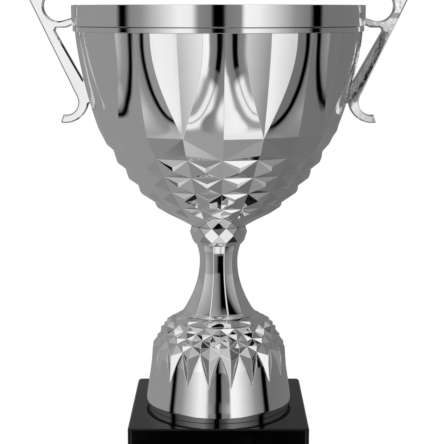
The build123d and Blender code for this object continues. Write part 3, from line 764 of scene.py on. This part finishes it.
# ---------------------------------------------------------------- what a user may change
class TrophyLooks(bpy.types.PropertyGroup):
    """Colours and light of the cup."""

    plating: bpy.props.FloatVectorProperty(
        name="Plating", description="Colour of the bright plating", default=(0.93, 0.93, 0.93), size=3,
        subtype="COLOR", min=0, max=1)
    stone: bpy.props.FloatVectorProperty(
        name="Stone", description="Colour of the block", default=(0.0012, 0.0012, 0.0013), size=3,
        subtype="COLOR", min=0, max=1)
    felt: bpy.props.FloatVectorProperty(
        name="Felt", description="Colour of the pad", default=(0.02, 0.021, 0.024), size=3,
        subtype="COLOR", min=0, max=1)
    zinc: bpy.props.FloatVectorProperty(
        name="Zinc", description="Colour of rod, nuts and screws", default=(0.55, 0.57, 0.6), size=3,
        subtype="COLOR", min=0, max=1)
    backdrop: bpy.props.FloatVectorProperty(
        name="Backdrop", description="Colour behind the cup", default=(1.0, 1.0, 1.0), size=3,
        subtype="COLOR", min=0, max=1)
    fill: bpy.props.FloatProperty(
        name="Fill light", description="Even light on matt surfaces", default=1.3, min=0, max=5)


class TrophySizes(bpy.types.PropertyGroup):
    """Sizes of the visible detail and of the view."""

    cut_softness: bpy.props.FloatProperty(
        name="Cut softness", description="Rounding of the cut edges", default=0.32 * MM, min=0,
        unit="LENGTH", precision=5)
    rim_softness: bpy.props.FloatProperty(
        name="Rim softness", description="Rounding of the rim band", default=0.5 * MM, min=0,
        unit="LENGTH", precision=5)
    camera_distance: bpy.props.FloatProperty(
        name="Camera distance", description="From the cup's axis, level", default=0.73, min=0.1,
        unit="LENGTH")
    camera_height: bpy.props.FloatProperty(
        name="Camera height", description="Above the table", default=0.2766, min=0, unit="LENGTH")
    camera_pitch: bpy.props.FloatProperty(
        name="Camera pitch", description="Downward tilt of the view", default=math.radians(9.3),
        subtype="ANGLE")
    floor_radius: bpy.props.FloatProperty(
        name="Floor radius", description="Radius of the pale floor", default=12.0, min=0.5, unit="LENGTH")


class TROPHY_OT_finishes(bpy.types.Operator):
    """Make the plating, stone, felt and zinc finishes"""

    bl_idname = "trophy.finishes"
    bl_label = "Finishes"

    def execute(self, context):
        looks = context.scene.trophy_looks
        ripple_group()
        dust_group()
        # painted shade for grooves and creases, which the plating multiplies into its colour
        painted_crease_shade_group()
        ground_face_group()
        plated("cut_plating", looks, haze=0.02, depth=0.012)
        plated("smooth_plating", looks, haze=0.012, wave=45.0, depth=0.01)
        plated("cast_plating_left", looks, haze=0.05, wave=200.0, depth=0.02, pits=0.1, pit_size=1100.0,
               slant=(0.16, 0.16))
        plated("cast_plating_right", looks, haze=0.06, wave=420.0, depth=0.16, pits=0.3, pit_size=1300.0,
               slant=(0.6, -0.12))
        polished_stone(looks)
        pressed_felt(looks)
        zinc_plate(looks)
        return {"FINISHED"}


class TROPHY_OT_bowl(bpy.types.Operator):
    """Add the diamond-cut bowl shell"""

    bl_idname = "trophy.bowl"
    bl_label = "Cut bowl"

    def execute(self, context):
        sizes = context.scene.trophy_sizes
        piece = welded("cut_bowl", bowl_patches(), finish("cut_plating"), ["bowl_shell"])
        soften(piece, sizes.cut_softness / MM, angle=10)
        return {"FINISHED"}


class TROPHY_OT_riser(bpy.types.Operator):
    """Add the bell-shaped riser with its spikes, and the collar on it"""

    bl_idname = "trophy.riser"
    bl_label = "Riser"

    def execute(self, context):
        sizes = context.scene.trophy_sizes
        piece = welded("riser", riser_patches() + collar_patches(), finish("cut_plating"), ["riser_bell"])
        soften(piece, sizes.cut_softness / MM, angle=18)
        return {"FINISHED"}


class TROPHY_OT_column(bpy.types.Operator):
    """Add the waisted stem and the faceted knop"""

    bl_idname = "trophy.column"
    bl_label = "Stem and knop"

    def execute(self, context):
        sizes = context.scene.trophy_sizes
        stem = welded("stem_column", stem_patches(), finish("cut_plating"), ["stem"])
        stem.data.set_sharp_from_angle(angle=math.radians(40))
        knop = welded("cut_knop", knop_patches(), finish("cut_plating"), ["knop"])
        soften(knop, sizes.cut_softness / MM, angle=8)
        return {"FINISHED"}


class TROPHY_OT_cup(bpy.types.Operator):
    """Add the smooth rim band and the inner cup that hangs in it"""

    bl_idname = "trophy.cup"
    bl_label = "Rim band and cup"

    def execute(self, context):
        sizes = context.scene.trophy_sizes
        columns = 240
        band = welded("rim_hoop", [revolved(band_profile(), columns, True)], finish("smooth_plating"),
                      ["rim_band"])
        soften(band, sizes.rim_softness / MM, angle=30, segments=3)
        cup = welded("inner_cup", [revolved(cup_profile(), columns, True)], finish("smooth_plating"),
                     ["cup_liner"])
        cup.data.set_sharp_from_angle(angle=math.radians(40))
        return {"FINISHED"}


class TROPHY_OT_handles(bpy.types.Operator):
    """Finish the two cast handles"""

    bl_idname = "trophy.handles"
    bl_label = "Handles"

    def execute(self, context):
        for side in ("left", "right"):
            refinish(f"handle_{side}", f"cast_plating_{side}")
        return {"FINISHED"}


class TROPHY_OT_base(bpy.types.Operator):
    """Finish the stone block and its felt pad"""

    bl_idname = "trophy.base"
    bl_label = "Block and felt"

    def execute(self, context):
        refinish("base_block", "polished_stone")
        refinish("base_felt", "felt_pad")
        return {"FINISHED"}


class TROPHY_OT_fasteners(bpy.types.Operator):
    """Finish the rod, nuts, washers and screws"""

    bl_idname = "trophy.fasteners"
    bl_label = "Fasteners"

    def execute(self, context):
        for node in ("tie_rod", "base_nut", "base_washer", "bowl_washer", "bowl_lock_washer", "bowl_nut",
                     "handle_leg_screws", "handle_leg_washers", "handle_rim_screws"):
            refinish(node, "zinc_plating")
        return {"FINISHED"}


class TROPHY_OT_stage(bpy.types.Operator):
    """Add the pale floor, the studio light and the camera"""

    bl_idname = "trophy.stage"
    bl_label = "Stage"

    def execute(self, context):
        sizes, looks, scene = context.scene.trophy_sizes, context.scene.trophy_looks, context.scene
        lens_length, camera_offset = 104.6, 1.7 * MM
        floor_line = [(0.0, 0.0), (sizes.floor_radius / MM, 0.0)]
        mesh = bpy.data.meshes.new("floor")
        sheet = revolved(floor_line, 96, False).reshape(-1, 3) * MM
        mesh.from_pydata(sheet.tolist(), [], np.arange(len(sheet)).reshape(-1, 4)[:, ::-1].tolist())
        bm = bmesh.new()
        bm.from_mesh(mesh)
        bmesh.ops.remove_doubles(bm, verts=bm.verts, dist=1e-5)
        bm.to_mesh(mesh)
        bm.free()
        floor = bpy.data.objects.new("floor", mesh)
        scene.collection.objects.link(floor)
        paper, _, shader = new_material("pale_floor")
        shader.inputs["Base Color"].default_value = (0.0, 0.0, 0.0, 1)
        shader.inputs["Emission Color"].default_value = (*looks.backdrop, 1)
        shader.inputs["Emission Strength"].default_value = 1.0
        shader.inputs["Specular IOR Level"].default_value = 0.0
        mesh.materials.append(paper)
        floor.visible_glossy = False
        scene.world = studio_world(looks)
        lens = bpy.data.cameras.new("camera")
        lens.lens = lens_length
        camera = bpy.data.objects.new("camera", lens)
        camera.location = (camera_offset, -sizes.camera_distance, sizes.camera_height)
        camera.rotation_euler = Euler((math.pi / 2 - sizes.camera_pitch, 0, 0))
        scene.collection.objects.link(camera)
        scene.camera = camera
        scene.view_settings.view_transform = "Standard"
        return {"FINISHED"}


class TROPHY_PT_maker(bpy.types.Panel):
    """Lists the cup's pieces and settings"""

    bl_idname = "TROPHY_PT_maker"
    bl_label = "Cup Trophy"
    bl_space_type = "VIEW_3D"
    bl_region_type = "UI"
    bl_category = "Trophy"

    def draw(self, context):
        for group in (context.scene.trophy_sizes, context.scene.trophy_looks):
            for name in group.__annotations__:
                self.layout.prop(group, name)
        for operator in OPERATORS:
            self.layout.operator(operator.bl_idname)


OPERATORS = (TROPHY_OT_finishes, TROPHY_OT_bowl, TROPHY_OT_riser, TROPHY_OT_column, TROPHY_OT_cup,
             TROPHY_OT_handles, TROPHY_OT_base, TROPHY_OT_fasteners, TROPHY_OT_stage)
CLASSES = (TrophyLooks, TrophySizes) + OPERATORS + (TROPHY_PT_maker,)


def register():
    """Registers the classes and the scene's settings."""
    for cls in CLASSES:
        bpy.utils.register_class(cls)
    bpy.types.Scene.trophy_looks = bpy.props.PointerProperty(type=TrophyLooks)
    bpy.types.Scene.trophy_sizes = bpy.props.PointerProperty(type=TrophySizes)


def unregister():
    """Removes what register added."""
    del bpy.types.Scene.trophy_sizes
    del bpy.types.Scene.trophy_looks
    for cls in reversed(CLASSES):
        bpy.utils.unregister_class(cls)


def main():
    """Builds everything."""
    register()
    for operator in OPERATORS:
        getattr(bpy.ops.trophy, operator.bl_idname.split(".")[1])()


if __name__ == "__main__":
    main()
